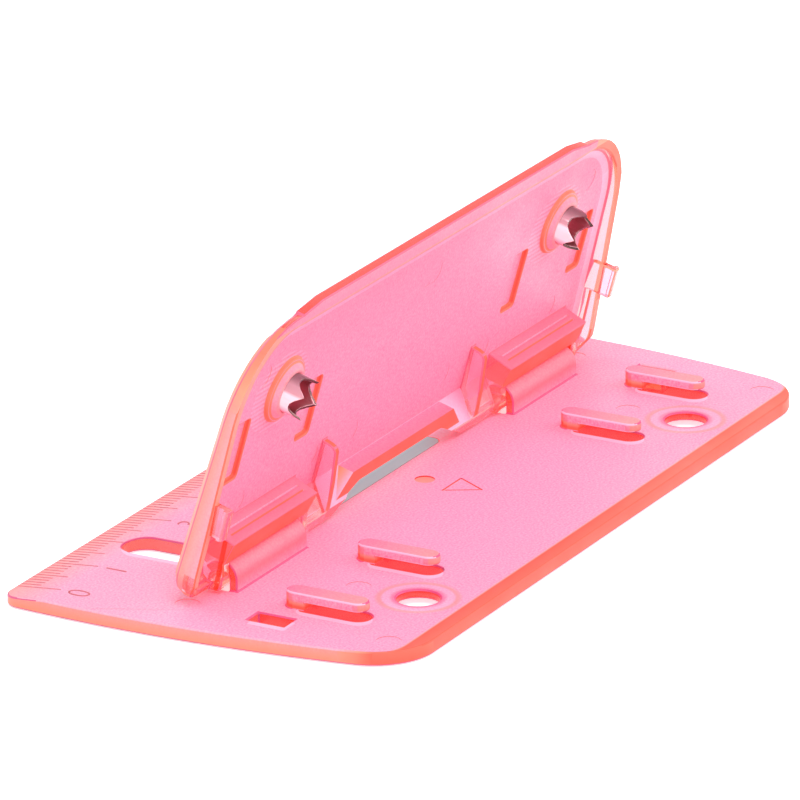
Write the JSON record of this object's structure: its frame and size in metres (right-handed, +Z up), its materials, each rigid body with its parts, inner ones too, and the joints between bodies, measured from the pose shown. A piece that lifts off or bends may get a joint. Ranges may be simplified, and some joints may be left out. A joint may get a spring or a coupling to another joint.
{
  "type": "two-hole punch",
  "caption": "Flat ring-binder paper punch of translucent pink plastic: base plate with ruler edge, paper hooks and die bores, and a hinged lid with toothed steel tube cutters.",
  "frame": {"origin": "middle of the base plate's underside", "axes": "+X along the hinge, +Y towards the ruler edge, +Z up"},
  "size_m": [0.13, 0.061, 0.0416],
  "materials": {
    "pink_plastic": "translucent, fine frosted grain, edges glow orange",
    "cutter_steel": "nickelled steel",
    "strip_metal": "satin"
  },
  "bodies": {
    "base": {"base_plate": "pink_plastic", "strip": "strip_metal"},
    "lid": {"lid": "pink_plastic", "left_cutter": "cutter_steel", "right_cutter": "cutter_steel"}
  },
  "joints": [
    {"name": "lid_hinge", "type": "hinge", "parent": "base", "child": "lid", "pos_m": [0, 0.0041, 0.0037], "axis": [1, 0, 0], "range_deg": [-10, 75]}
  ]
}
